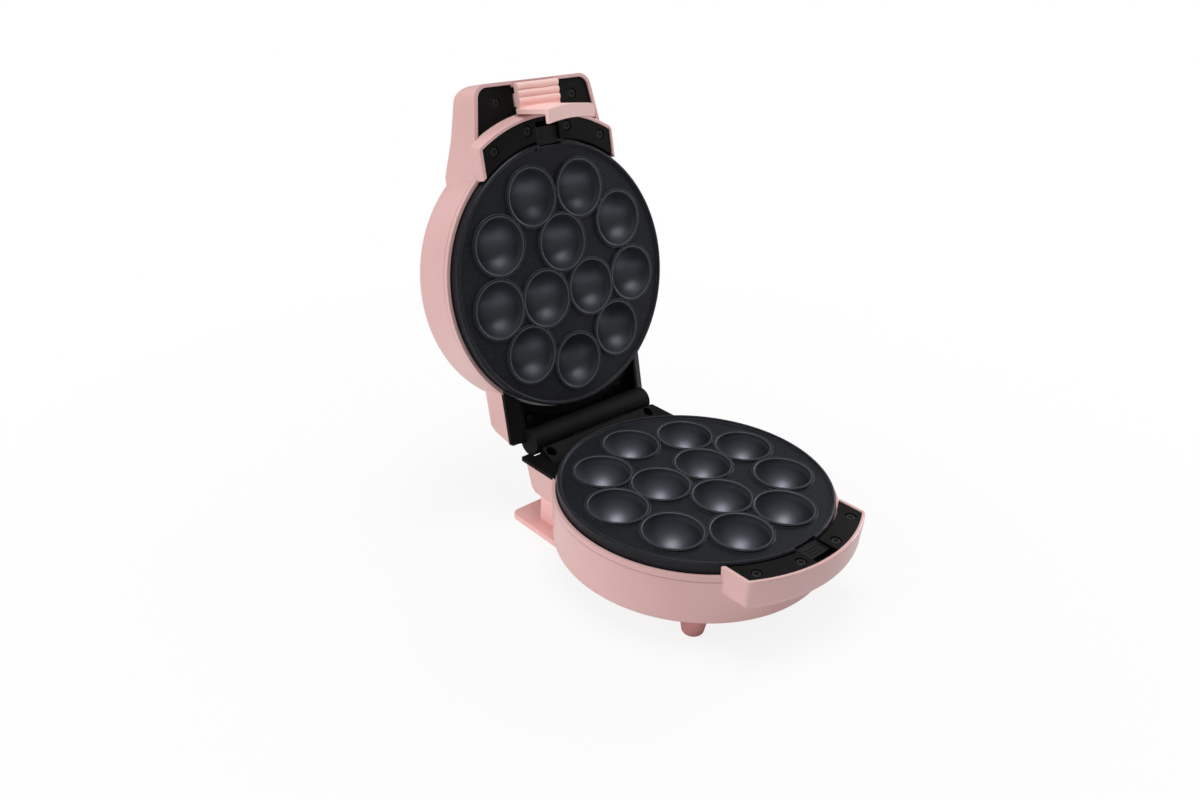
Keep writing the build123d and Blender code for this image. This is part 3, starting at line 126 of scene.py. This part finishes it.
def tint(red, green, blue):  # a screen colour, 0 to 255, as shader values
    def straight(level):
        level /= 255
        return level / 12.92 if level <= 0.04045 else ((level + 0.055) / 1.055) ** 2.4
    return (straight(red), straight(green), straight(blue), 1.0)


def dress(finish, *names):  # gives the finish to every slot of the named nodes
    for name in names:
        slots = nodes[name].data.materials
        for index in range(len(slots)):
            slots[index] = finish.material
        if not slots:
            slots.append(finish.material)


# each half's centre on the parting plane and its own directions
baseSeat = {
    "centre": (0.0, -0.040851, 0.0565),
    "across": (1.0, 0.0, 0.0),
    "along": (0.0, 1.0, 0.0),
    "out": (0.0, 0.0, 1.0),
}
lidSeat = {
    "centre": (0.0, 0.083512, 0.153014),
    "across": (-1.0, 0.0, 0.0),
    "along": (0.0, -0.238533, -0.971134),
    "out": (0.0, -0.971134, 0.238533),
}

# housings: satin paint with a faint pearl, a painted highlight along the edges and a groove under the
# bowl's rim darkened with painted shade
paint = {
    "colour": tint(230, 187, 185),
    "shade": tint(225, 179, 178),
    "cloudSize": 0.06,
    "cloudDetail": 3.0,
    "cloudFade": (0.35, 0.7),
    # painted highlight colour for the rounded edges; the pearl flecks borrow it
    "edgeHighlightColour": tint(247, 218, 217),
    "edgeRadius": 0.0006,
    "edgeReach": 0.25,
    "edgeHighlightShare": 0.65,
    "fleckSize": 0.00035,
    "fleckFade": (0.56, 0.72),
    "fleckShare": 0.12,
    # painted shade colour for the groove under the rim
    "grooveShadeColour": tint(196, 148, 147),
    "grooveShadeShare": 0.7,
    "grooveDepth": -0.0108,
    "grooveHalf": 0.0005,
    "grooveFloor": 0.0001,
    "grooveCut": 0.00025,
    "wallInner": (0.0862, 0.0865),
    "wallOuter": (0.0892, 0.089),
    "peelSize": 0.0011,
    "peelHeight": 0.00002,
    "roughness": 0.36,
    "cloudRoughness": 0.06,
    "fleckPolish": 0.05,
    "coat": 0.3,
    "coatRoughness": 0.2,
}


def housingFinish(name, seat):
    made = Finish(name)
    across, along, out = (made.measured(seat, key) for key in ("across", "along", "out"))
    reach = (across * across + along * along) ** 0.5
    wall = made.window(reach, *paint["wallInner"]) * made.window(reach, *paint["wallOuter"])
    offGroove = (out - paint["grooveDepth"]).size()
    groove = wall * made.window(offGroove, paint["grooveHalf"], paint["grooveFloor"])
    rounded = made.softNormal(paint["edgeRadius"])
    cloud = made.noise(paint["cloudSize"], paint["cloudDetail"])
    fleck = made.window(made.noise(paint["fleckSize"], 1.0), *paint["fleckFade"])
    peel = made.noise(paint["peelSize"], 1.0)
    edgeHighlight = made.edges(rounded, paint["edgeReach"])
    colour = made.mixColour(made.window(cloud, *paint["cloudFade"]), paint["colour"], paint["shade"])
    # the pearl flecks take the same pale colour as the painted edge highlight
    colour = made.mixColour(fleck * paint["fleckShare"], colour, paint["edgeHighlightColour"])
    # painted highlight: the rounded edges are lightened in colour
    colour = made.mixColour(edgeHighlight * paint["edgeHighlightShare"], colour, paint["edgeHighlightColour"])
    # painted shade: the groove is darkened in colour; its cut below is real relief
    colour = made.mixColour(groove * paint["grooveShadeShare"], colour, paint["grooveShadeColour"])
    relief = peel * paint["peelHeight"] - groove * paint["grooveCut"]
    made.surface({
        "Base Color": colour,
        "Roughness": paint["roughness"] + paint["cloudRoughness"] * cloud - paint["fleckPolish"] * fleck,
        "Coat Weight": paint["coat"],
        "Coat Roughness": paint["coatRoughness"],
        "Normal": made.bump(relief, 1.0, rounded),
    })
    return made


dress(housingFinish("basePaint", baseSeat), "base_housing")
dress(housingFinish("lidPaint", lidSeat), "lid_housing")
print("housings painted")

# latch, feet and stand: unpainted moulded plastic, with a painted highlight along its edges; the feet carry
# painted shade and the stand painted light
latchLook = {
    "colour": tint(254, 217, 211),
    "shade": tint(252, 208, 203),
    "patchSize": 0.03,
    "patchDetail": 3.0,
    "patchFade": (0.35, 0.7),
    # painted highlight colour along the edges
    "edgeHighlightColour": tint(255, 232, 228),
    "edgeRadius": 0.0005,
    "edgeReach": 0.25,
    "edgeHighlightShare": 0.5,
    "grainSize": 0.0007,
    "grainDetail": 2.0,
    "grainHeight": 0.000012,
    "roughness": 0.38,
    "patchRoughness": 0.08,
    "specular": 0.4,
}
# painted shade: the feet are a darker copy of the same moulding, matching feet that stand in shade
footLookWithPaintedShade = dict(
    latchLook,
    colour=tint(208, 148, 147),
    shade=tint(200, 138, 138),
    edgeHighlightColour=tint(228, 178, 176),
)
# painted light: the stand is a lighter copy of the same moulding, brightened against the shade under the
# body
standLookWithPaintedLight = dict(
    latchLook,
    colour=tint(254, 206, 204),
    shade=tint(252, 198, 196),
    edgeHighlightColour=tint(254, 222, 219),
)


def salmonFinish(name, look):
    made = Finish(name)
    rounded = made.softNormal(look["edgeRadius"])
    patch = made.noise(look["patchSize"], look["patchDetail"])
    grain = made.noise(look["grainSize"], look["grainDetail"])
    edgeHighlight = made.edges(rounded, look["edgeReach"])
    colour = made.mixColour(made.window(patch, *look["patchFade"]), look["colour"], look["shade"])
    # painted highlight: the rounded edges are lightened in colour
    colour = made.mixColour(edgeHighlight * look["edgeHighlightShare"], colour, look["edgeHighlightColour"])
    made.surface({
        "Base Color": colour,
        "Roughness": look["roughness"] + look["patchRoughness"] * patch,
        "Specular IOR Level": look["specular"],
        "Normal": made.bump(grain, look["grainHeight"], rounded),
    })
    return made


dress(salmonFinish("latchPlastic", latchLook), "latch")
dress(salmonFinish("footPlasticPaintedShade", footLookWithPaintedShade), "front_foot_left", "front_foot_right")
dress(salmonFinish("standPlasticPaintedLight", standLookWithPaintedLight), "rear_stand")
print("latch, feet and stand done")

# arc covers, hinge covers and grip cover: matte black with a fine moulded grain and a painted highlight
# along the edges
cover = {
    "colour": tint(12, 12, 11),
    "worn": tint(27, 26, 25),
    "wornShare": 0.35,
    "cloudSize": 0.025,
    "cloudDetail": 4.0,
    "cloudFade": (0.4, 0.75),
    # painted highlight colour along the edges
    "edgeHighlightColour": tint(52, 51, 49),
    "edgeRadius": 0.0004,
    "edgeReach": 0.3,
    "edgeHighlightShare": 0.6,
    "grainSize": 0.0005,
    "grainDetail": 2.0,
    "grainHeight": 0.00003,
    "roughness": 0.46,
    "grainRoughness": 0.12,
    "specular": 0.09,
}
moulding = Finish("blackMoulding")
rounded = moulding.softNormal(cover["edgeRadius"])
grain = moulding.noise(cover["grainSize"], cover["grainDetail"])
cloud = moulding.noise(cover["cloudSize"], cover["cloudDetail"])
edgeHighlight = moulding.edges(rounded, cover["edgeReach"])
wear = cover["wornShare"] * moulding.window(cloud, *cover["cloudFade"])
colour = moulding.mixColour(wear, cover["colour"], cover["worn"])
moulding.surface({
    # painted highlight: the rounded edges are lightened in colour
    "Base Color": moulding.mixColour(edgeHighlight * cover["edgeHighlightShare"], colour, cover["edgeHighlightColour"]),
    "Roughness": cover["roughness"] + cover["grainRoughness"] * grain,
    "Specular IOR Level": cover["specular"],
    "Normal": moulding.bump(grain, cover["grainHeight"], rounded),
})
dress(moulding, "base_handle_cover", "lid_handle_cover", "base_hinge_cover", "lid_hinge_cover",
      "lid_outer_cover")

# release buttons: the same black, rubbed a little smoother, with a painted highlight along the edges
button = {
    "colour": tint(24, 23, 23),
    # painted highlight colour along the edges
    "edgeHighlightColour": tint(48, 47, 45),
    "edgeRadius": 0.0003,
    "edgeReach": 0.3,
    "edgeHighlightShare": 0.5,
    "grainSize": 0.0006,
    "grainDetail": 2.0,
    "grainHeight": 0.00002,
    "roughness": 0.4,
    "grainRoughness": 0.1,
    "specular": 0.18,
}
rubbed = Finish("blackButton")
rounded = rubbed.softNormal(button["edgeRadius"])
grain = rubbed.noise(button["grainSize"], button["grainDetail"])
edgeHighlight = rubbed.edges(rounded, button["edgeReach"])
rubbed.surface({
    # painted highlight: the rounded edges are lightened in colour
    "Base Color": rubbed.mixColour(edgeHighlight * button["edgeHighlightShare"], button["colour"], button["edgeHighlightColour"]),
    "Roughness": button["roughness"] + button["grainRoughness"] * grain,
    "Specular IOR Level": button["specular"],
    "Normal": rubbed.bump(grain, button["grainHeight"], rounded),
})
dress(rubbed, "base_release_button", "lid_release_button")
print("black mouldings done")

# cavity plates: dark speckled coat on the field, a grey sheen in the cavities, thin lips with a painted
# highlight
coat = {
    "field": tint(26, 27, 32),
    "deep": tint(21, 22, 26),
    "bowl": tint(108, 111, 119),
    "bowlDeep": tint(104, 107, 114),
    "bowlMetal": 0.95,
    "bowlRoughness": 0.48,
    "bowlEdge": (0.0176, 0.0169),
    "rings": ((3, 0.022147, -90.0), (9, 0.057571, -70.0)),  # cavities, circle radius, first one's angle
    # painted highlight colour for the lips and rounded edges
    "lipHighlight": tint(138, 143, 152),
    "lipRadius": 0.01805,
    "lipFade": (0.0006, 0.00012),
    "lipMetal": 0.6,
    "edgeRadius": 0.0005,
    "edgeReach": 0.2,
    "edgeHighlightShare": 0.4,
    "patchSize": 0.02,
    "patchDetail": 4.0,
    "patchFade": (0.35, 0.7),
    "speck": tint(104, 108, 120),
    "speckSize": 0.0004,
    "speckFade": (0.6, 0.74),
    "speckShare": 0.22,
    "sprayed": 0.0009,
    "sprayDetail": 2.0,
    "sprayHeight": 0.00003,
    "sprayRoughness": 0.1,
    "bowlCalm": 0.75,
    "spun": 0.0011,
    "spunWander": 3.0,
    "spunHeight": 0.0000012,
    "roughness": 0.4,
    "specular": 0.2,
    "specularTint": (0.9, 0.94, 1.0, 1.0),
}


def cavityDistance(made, across, along, reach):  # distance from the nearest cavity's axis
    turn = along.maths("ARCTAN2", None, across)
    nearest = None
    for count, ring, first in coat["rings"]:
        half = math.pi / count
        fold = (turn - math.radians(first)).maths("WRAP", None, half, -half)
        apart = (reach * reach + ring * ring - 2.0 * ring * reach * fold.maths("COSINE")) ** 0.5
        nearest = apart if nearest is None else nearest.atMost(apart)
    return nearest


def plateFinish(name, seat):
    made = Finish(name)
    across, along = made.measured(seat, "across"), made.measured(seat, "along")
    reach = (across * across + along * along) ** 0.5
    nearest = cavityDistance(made, across, along, reach)
    bowl = made.window(nearest, *coat["bowlEdge"])
    lipHighlight = made.window((nearest - coat["lipRadius"]).size(), *coat["lipFade"])
    rounded = made.softNormal(coat["edgeRadius"])
    patch = made.noise(coat["patchSize"], coat["patchDetail"])
    spray = made.noise(coat["sprayed"], coat["sprayDetail"])
    speck = made.window(made.noise(coat["speckSize"], 0.0), *coat["speckFade"])
    spin = (nearest * (2.0 * math.pi / coat["spun"]) + coat["spunWander"] * patch).maths("SINE")
    edgeHighlight = (lipHighlight + made.edges(rounded, coat["edgeReach"])).atMost(1.0)
    deep = made.window(patch, *coat["patchFade"])
    colour = made.mixColour(deep, coat["field"], coat["deep"])
    colour = made.mixColour(speck * coat["speckShare"], colour, coat["speck"])
    colour = made.mixColour(bowl, colour, made.mixColour(deep, coat["bowl"], coat["bowlDeep"]))
    # painted highlight: the thin lips and rounded edges are lightened in colour
    colour = made.mixColour(edgeHighlight * coat["edgeHighlightShare"], colour, coat["lipHighlight"])
    roughness = coat["roughness"] + (coat["bowlRoughness"] - coat["roughness"]) * bowl
    relief = spray * (1.0 - coat["bowlCalm"] * bowl) * coat["sprayHeight"]
    made.surface({
        "Base Color": colour,
        "Metallic": (bowl * coat["bowlMetal"]).atLeast(lipHighlight * coat["lipMetal"]),
        "Roughness": roughness + coat["sprayRoughness"] * (spray - 0.5),
        "Specular IOR Level": coat["specular"],
        "Specular Tint": coat["specularTint"],
        "Normal": made.bump(relief + spin * bowl * coat["spunHeight"], 1.0, rounded),
    })
    return made


dress(plateFinish("basePlateCoat", baseSeat), "base_plate")
dress(plateFinish("lidPlateCoat", lidSeat), "lid_plate")
print("plates coated")

# bright pans, with the fine lines of rolled sheet
sheet = {
    "colour": tint(214, 215, 214),
    "line": tint(176, 177, 176),
    "lineSize": 0.0004,
    "lineDetail": 2.0,
    "lineStretch": (0.06, 1.0, 1.0),
    "lineFade": (0.4, 0.65),
    "lineHeight": 0.000008,
    "lineRoughness": 0.16,
    "roughness": 0.24,
}
pan = Finish("brightSheet")
lines = pan.noise(sheet["lineSize"], sheet["lineDetail"], sheet["lineStretch"])
pan.surface({
    "Base Color": pan.mixColour(pan.window(lines, *sheet["lineFade"]), sheet["colour"], sheet["line"]),
    "Metallic": 1.0,
    "Roughness": sheet["roughness"] + sheet["lineRoughness"] * lines,
    "Normal": pan.bump(lines, sheet["lineHeight"]),
})
dress(pan, "base_reflector", "lid_reflector")

# heating elements: sheath dulled by heat
sheath = {
    "colour": tint(120, 116, 108),
    "burnt": tint(74, 68, 62),
    "scorchSize": 0.012,
    "scorchDetail": 5.0,
    "scorchFade": (0.4, 0.65),
    "scorchRoughness": 0.2,
    "scaleSize": 0.0008,
    "scaleDetail": 3.0,
    "scaleHeight": 0.00003,
    "metallic": 0.7,
    "roughness": 0.5,
}
element = Finish("elementSheath")
scorch = element.noise(sheath["scorchSize"], sheath["scorchDetail"])
scale = element.noise(sheath["scaleSize"], sheath["scaleDetail"])
burnt = element.window(scorch, *sheath["scorchFade"])
element.surface({
    "Base Color": element.mixColour(burnt, sheath["colour"], sheath["burnt"]),
    "Metallic": sheath["metallic"],
    "Roughness": sheath["roughness"] + sheath["scorchRoughness"] * scorch,
    "Normal": element.bump(scale, sheath["scaleHeight"]),
})
dress(element, "base_element", "lid_element")

# screws, pins, saddles and springs: plain metal with light handling marks
plainLook = {
    "colour": tint(186, 186, 184),
    "dark": tint(150, 150, 148),
    "markSize": 0.0015,
    "markDetail": 4.0,
    "markFade": (0.4, 0.7),
    "markRoughness": 0.15,
    "grainSize": 0.0006,
    "grainDetail": 2.0,
    "grainHeight": 0.00001,
    "edgeRadius": 0.0002,
    "metallic": 1.0,
    "roughness": 0.28,
}
zincLook = dict(plainLook, colour=tint(196, 196, 192), dark=tint(160, 160, 156), roughness=0.3)
springLook = dict(plainLook, colour=tint(62, 61, 60), dark=tint(38, 37, 36), roughness=0.35)
blackLook = dict(plainLook, colour=tint(44, 44, 43), dark=tint(24, 24, 23), roughness=0.34, metallic=0.6)


def steelFinish(name, look):
    made = Finish(name)
    rounded = made.softNormal(look["edgeRadius"])
    marks = made.noise(look["markSize"], look["markDetail"])
    grain = made.noise(look["grainSize"], look["grainDetail"])
    made.surface({
        "Base Color": made.mixColour(made.window(marks, *look["markFade"]), look["colour"], look["dark"]),
        "Metallic": look["metallic"],
        "Roughness": look["roughness"] + look["markRoughness"] * marks,
        "Normal": made.bump(grain, look["grainHeight"], rounded),
    })
    return made


dress(steelFinish("blackScrews", blackLook), "base_handle_screws", "lid_handle_screws",
      "base_hinge_screws", "lid_hinge_screws", "lid_outer_screws")
dress(steelFinish("zincScrews", zincLook), "foot_screws", "stand_screws", "base_pan_screws",
      "lid_pan_screws")
dress(steelFinish("plainSteel", plainLook), "hinge_pin", "latch_pin", "base_element_saddles",
      "lid_element_saddles", "thermal_fuse")
dress(steelFinish("springWire", springLook), "base_release_spring", "lid_release_spring", "latch_spring")
print("metal done")

# cord grommet
grommet = {
    "colour": tint(24, 24, 24),
    "pale": tint(38, 37, 36),
    "grainSize": 0.0005,
    "grainDetail": 3.0,
    "grainHeight": 0.00003,
    "roughness": 0.6,
    "grainRoughness": 0.15,
}
rubber = Finish("grommetRubber")
grain = rubber.noise(grommet["grainSize"], grommet["grainDetail"])
rubber.surface({
    "Base Color": rubber.mixColour(grain, grommet["colour"], grommet["pale"]),
    "Roughness": grommet["roughness"] + grommet["grainRoughness"] * grain,
    "Normal": rubber.bump(grain, grommet["grainHeight"]),
})
dress(rubber, "cord_grommet")

# thermostat and terminal block
fired = {
    "colour": tint(232, 228, 216),
    "shade": tint(214, 208, 194),
    "cloudSize": 0.006,
    "cloudDetail": 4.0,
    "cloudRoughness": 0.2,
    "grainSize": 0.0009,
    "grainDetail": 2.0,
    "grainHeight": 0.00002,
    "roughness": 0.4,
}
ceramic = Finish("ceramic")
cloud = ceramic.noise(fired["cloudSize"], fired["cloudDetail"])
grain = ceramic.noise(fired["grainSize"], fired["grainDetail"])
ceramic.surface({
    "Base Color": ceramic.mixColour(cloud, fired["colour"], fired["shade"]),
    "Roughness": fired["roughness"] + fired["cloudRoughness"] * cloud,
    "Normal": ceramic.bump(grain, fired["grainHeight"]),
})
dress(ceramic, "thermostat", "terminal_block")

# indicator lenses
lensLook = {
    "colour": tint(206, 34, 28),
    "deep": tint(166, 16, 14),
    "depthSize": 0.002,
    "depthDetail": 2.0,
    "depthHeight": 0.00002,
    "depthRoughness": 0.08,
    "roughness": 0.12,
    "coat": 0.6,
}
lens = Finish("redLens")
depth = lens.noise(lensLook["depthSize"], lensLook["depthDetail"])
lens.surface({
    "Base Color": lens.mixColour(depth, lensLook["colour"], lensLook["deep"]),
    "Roughness": lensLook["roughness"] + lensLook["depthRoughness"] * depth,
    "Coat Weight": lensLook["coat"],
    "Normal": lens.bump(depth, lensLook["depthHeight"]),
})
dress(lens, "indicator_lenses")

# indicator lamps
bulb = {
    "colour": tint(244, 226, 208),
    "smoked": tint(226, 200, 178),
    "smokeSize": 0.003,
    "smokeDetail": 2.0,
    "smokeRoughness": 0.05,
    "roughness": 0.05,
    "clearness": 0.6,
}
glass = Finish("lampGlass")
smoke = glass.noise(bulb["smokeSize"], bulb["smokeDetail"])
glass.surface({
    "Base Color": glass.mixColour(smoke, bulb["colour"], bulb["smoked"]),
    "Roughness": bulb["roughness"] + bulb["smokeRoughness"] * smoke,
    "Transmission Weight": bulb["clearness"],
})
dress(glass, "indicator_lamps")
print("small pieces done")

# camera
view = {
    "spot": (-0.41442, -0.38817, 0.38706),
    "azimuth": -43.54,
    "elevation": 27.35,
    "roll": 2.51,
    "lens": 30.517,
    "sensor": 36.0,
    "nearest": 0.01,
}
azimuth, elevation, roll = (math.radians(view[key]) for key in ("azimuth", "elevation", "roll"))
back = Vector((
    math.sin(azimuth) * math.cos(elevation),
    -math.cos(azimuth) * math.cos(elevation),
    math.sin(elevation),
))
right = Vector((math.cos(azimuth), math.sin(azimuth), 0.0))
up = back.cross(right)
tiltedRight = right * math.cos(roll) + up * math.sin(roll)
tiltedUp = up * math.cos(roll) - right * math.sin(roll)
cameraData = bpy.data.cameras.new("camera")
cameraData.sensor_width = view["sensor"]
cameraData.lens = view["lens"]
cameraData.clip_start = view["nearest"]
camera = bpy.data.objects.new("camera", cameraData)
turned = Matrix((tiltedRight, tiltedUp, back)).transposed().to_4x4()
camera.matrix_world = Matrix.Translation(view["spot"]) @ turned
bpy.context.scene.collection.objects.link(camera)
bpy.context.scene.camera = camera

# lights: the left one is kept out of reflections, so that each cavity shows one soft spot
lights = {
    "overhead": {
        "spot": (0.0, 0.0, 1.3),
        "aim": (0.0, 0.0, 0.0),
        "size": (0.75, 0.55),
        "watts": 8.2,
        "tone": (1.0, 1.0, 1.0),
        "inGloss": True,
    },
    "left": {
        "spot": (-1.25, 0.4, 0.5),
        "aim": (0.0, 0.05, 0.12),
        "size": (1.9, 1.5),
        "watts": 13.0,
        "tone": (1.0, 0.985, 0.95),
        "inGloss": False,
    },
    "right": {
        "spot": (1.1, -0.1, 0.45),
        "aim": (0.0, 0.0, 0.06),
        "size": (0.7, 0.6),
        "watts": 6.0,
        "tone": (1.0, 1.0, 1.0),
        "inGloss": True,
    },
}
for name, light in lights.items():
    lightData = bpy.data.lights.new(name, "AREA")
    lightData.shape = "RECTANGLE"
    lightData.size, lightData.size_y = light["size"]
    lightData.energy = light["watts"]
    lightData.color = light["tone"]
    holder = bpy.data.objects.new(name, lightData)
    holder.location = light["spot"]
    aim = Vector(light["aim"]) - Vector(light["spot"])
    holder.rotation_euler = aim.to_track_quat("-Z", "Y").to_euler()
    holder.visible_glossy = light["inGloss"]
    bpy.context.scene.collection.objects.link(holder)

# room and floor: white to the eye, softer as a light
room = {
    "white": (1.0, 1.0, 1.0, 1.0),
    "asLight": 0.21,
    "inGloss": 0.02,
    "floorHalf": 6.0,
    "floorColour": (0.9, 0.9, 0.9, 1.0),
    "floorRoughness": 0.9,
    "floorFade": (0.16, 0.5),
    "nearWhite": 0.86,
}


def seen(finish):  # 1 for the camera and through glass, a little for reflections
    camera, glossy, through = (finish.node("ShaderNodeLightPath", {}, {}, index) for index in (0, 3, 6))
    return camera.atLeast(room["inGloss"] * glossy).atLeast(through)


world = bpy.data.worlds.new("room")
world.use_nodes = True
bpy.context.scene.world = world
sky = Finish("sky", world.node_tree)
background = world.node_tree.nodes["Background"]
sky.feed(background.inputs["Color"], room["white"])
sky.feed(background.inputs["Strength"], room["asLight"] + (1.0 - room["asLight"]) * seen(sky))

half = room["floorHalf"]
corners = [(-half, -half, 0), (half, -half, 0), (half, half, 0), (-half, half, 0)]
floorMesh = bpy.data.meshes.new("floor")
floorMesh.from_pydata(corners, [], [(0, 1, 2, 3)])
floor = bpy.data.objects.new("floor", floorMesh)
bpy.context.scene.collection.objects.link(floor)
pale = Finish("paleFloor")
pale.surface({
    "Base Color": room["floorColour"],
    "Roughness": room["floorRoughness"],
    "Specular IOR Level": 0.0,
})
matte = Wire(pale, pale.tree.nodes["Principled BSDF"].outputs[0])
glow = pale.node("ShaderNodeEmission", {}, {"Color": room["white"], "Strength": 1.0})
away = pale.node("ShaderNodeVectorMath", {"operation": "LENGTH"}, {0: pale.place()}, 1)
share = seen(pale) * (room["nearWhite"] + (1.0 - room["nearWhite"]) * pale.window(away, *room["floorFade"]))
mixed = pale.node("ShaderNodeMixShader", {}, {0: share, 1: matte, 2: glow})
pale.feed(pale.tree.nodes["Material Output"].inputs["Surface"], mixed)
floorMesh.materials.append(pale.material)

bpy.context.scene.view_settings.view_transform = "Standard"
print("camera, lights and floor set")
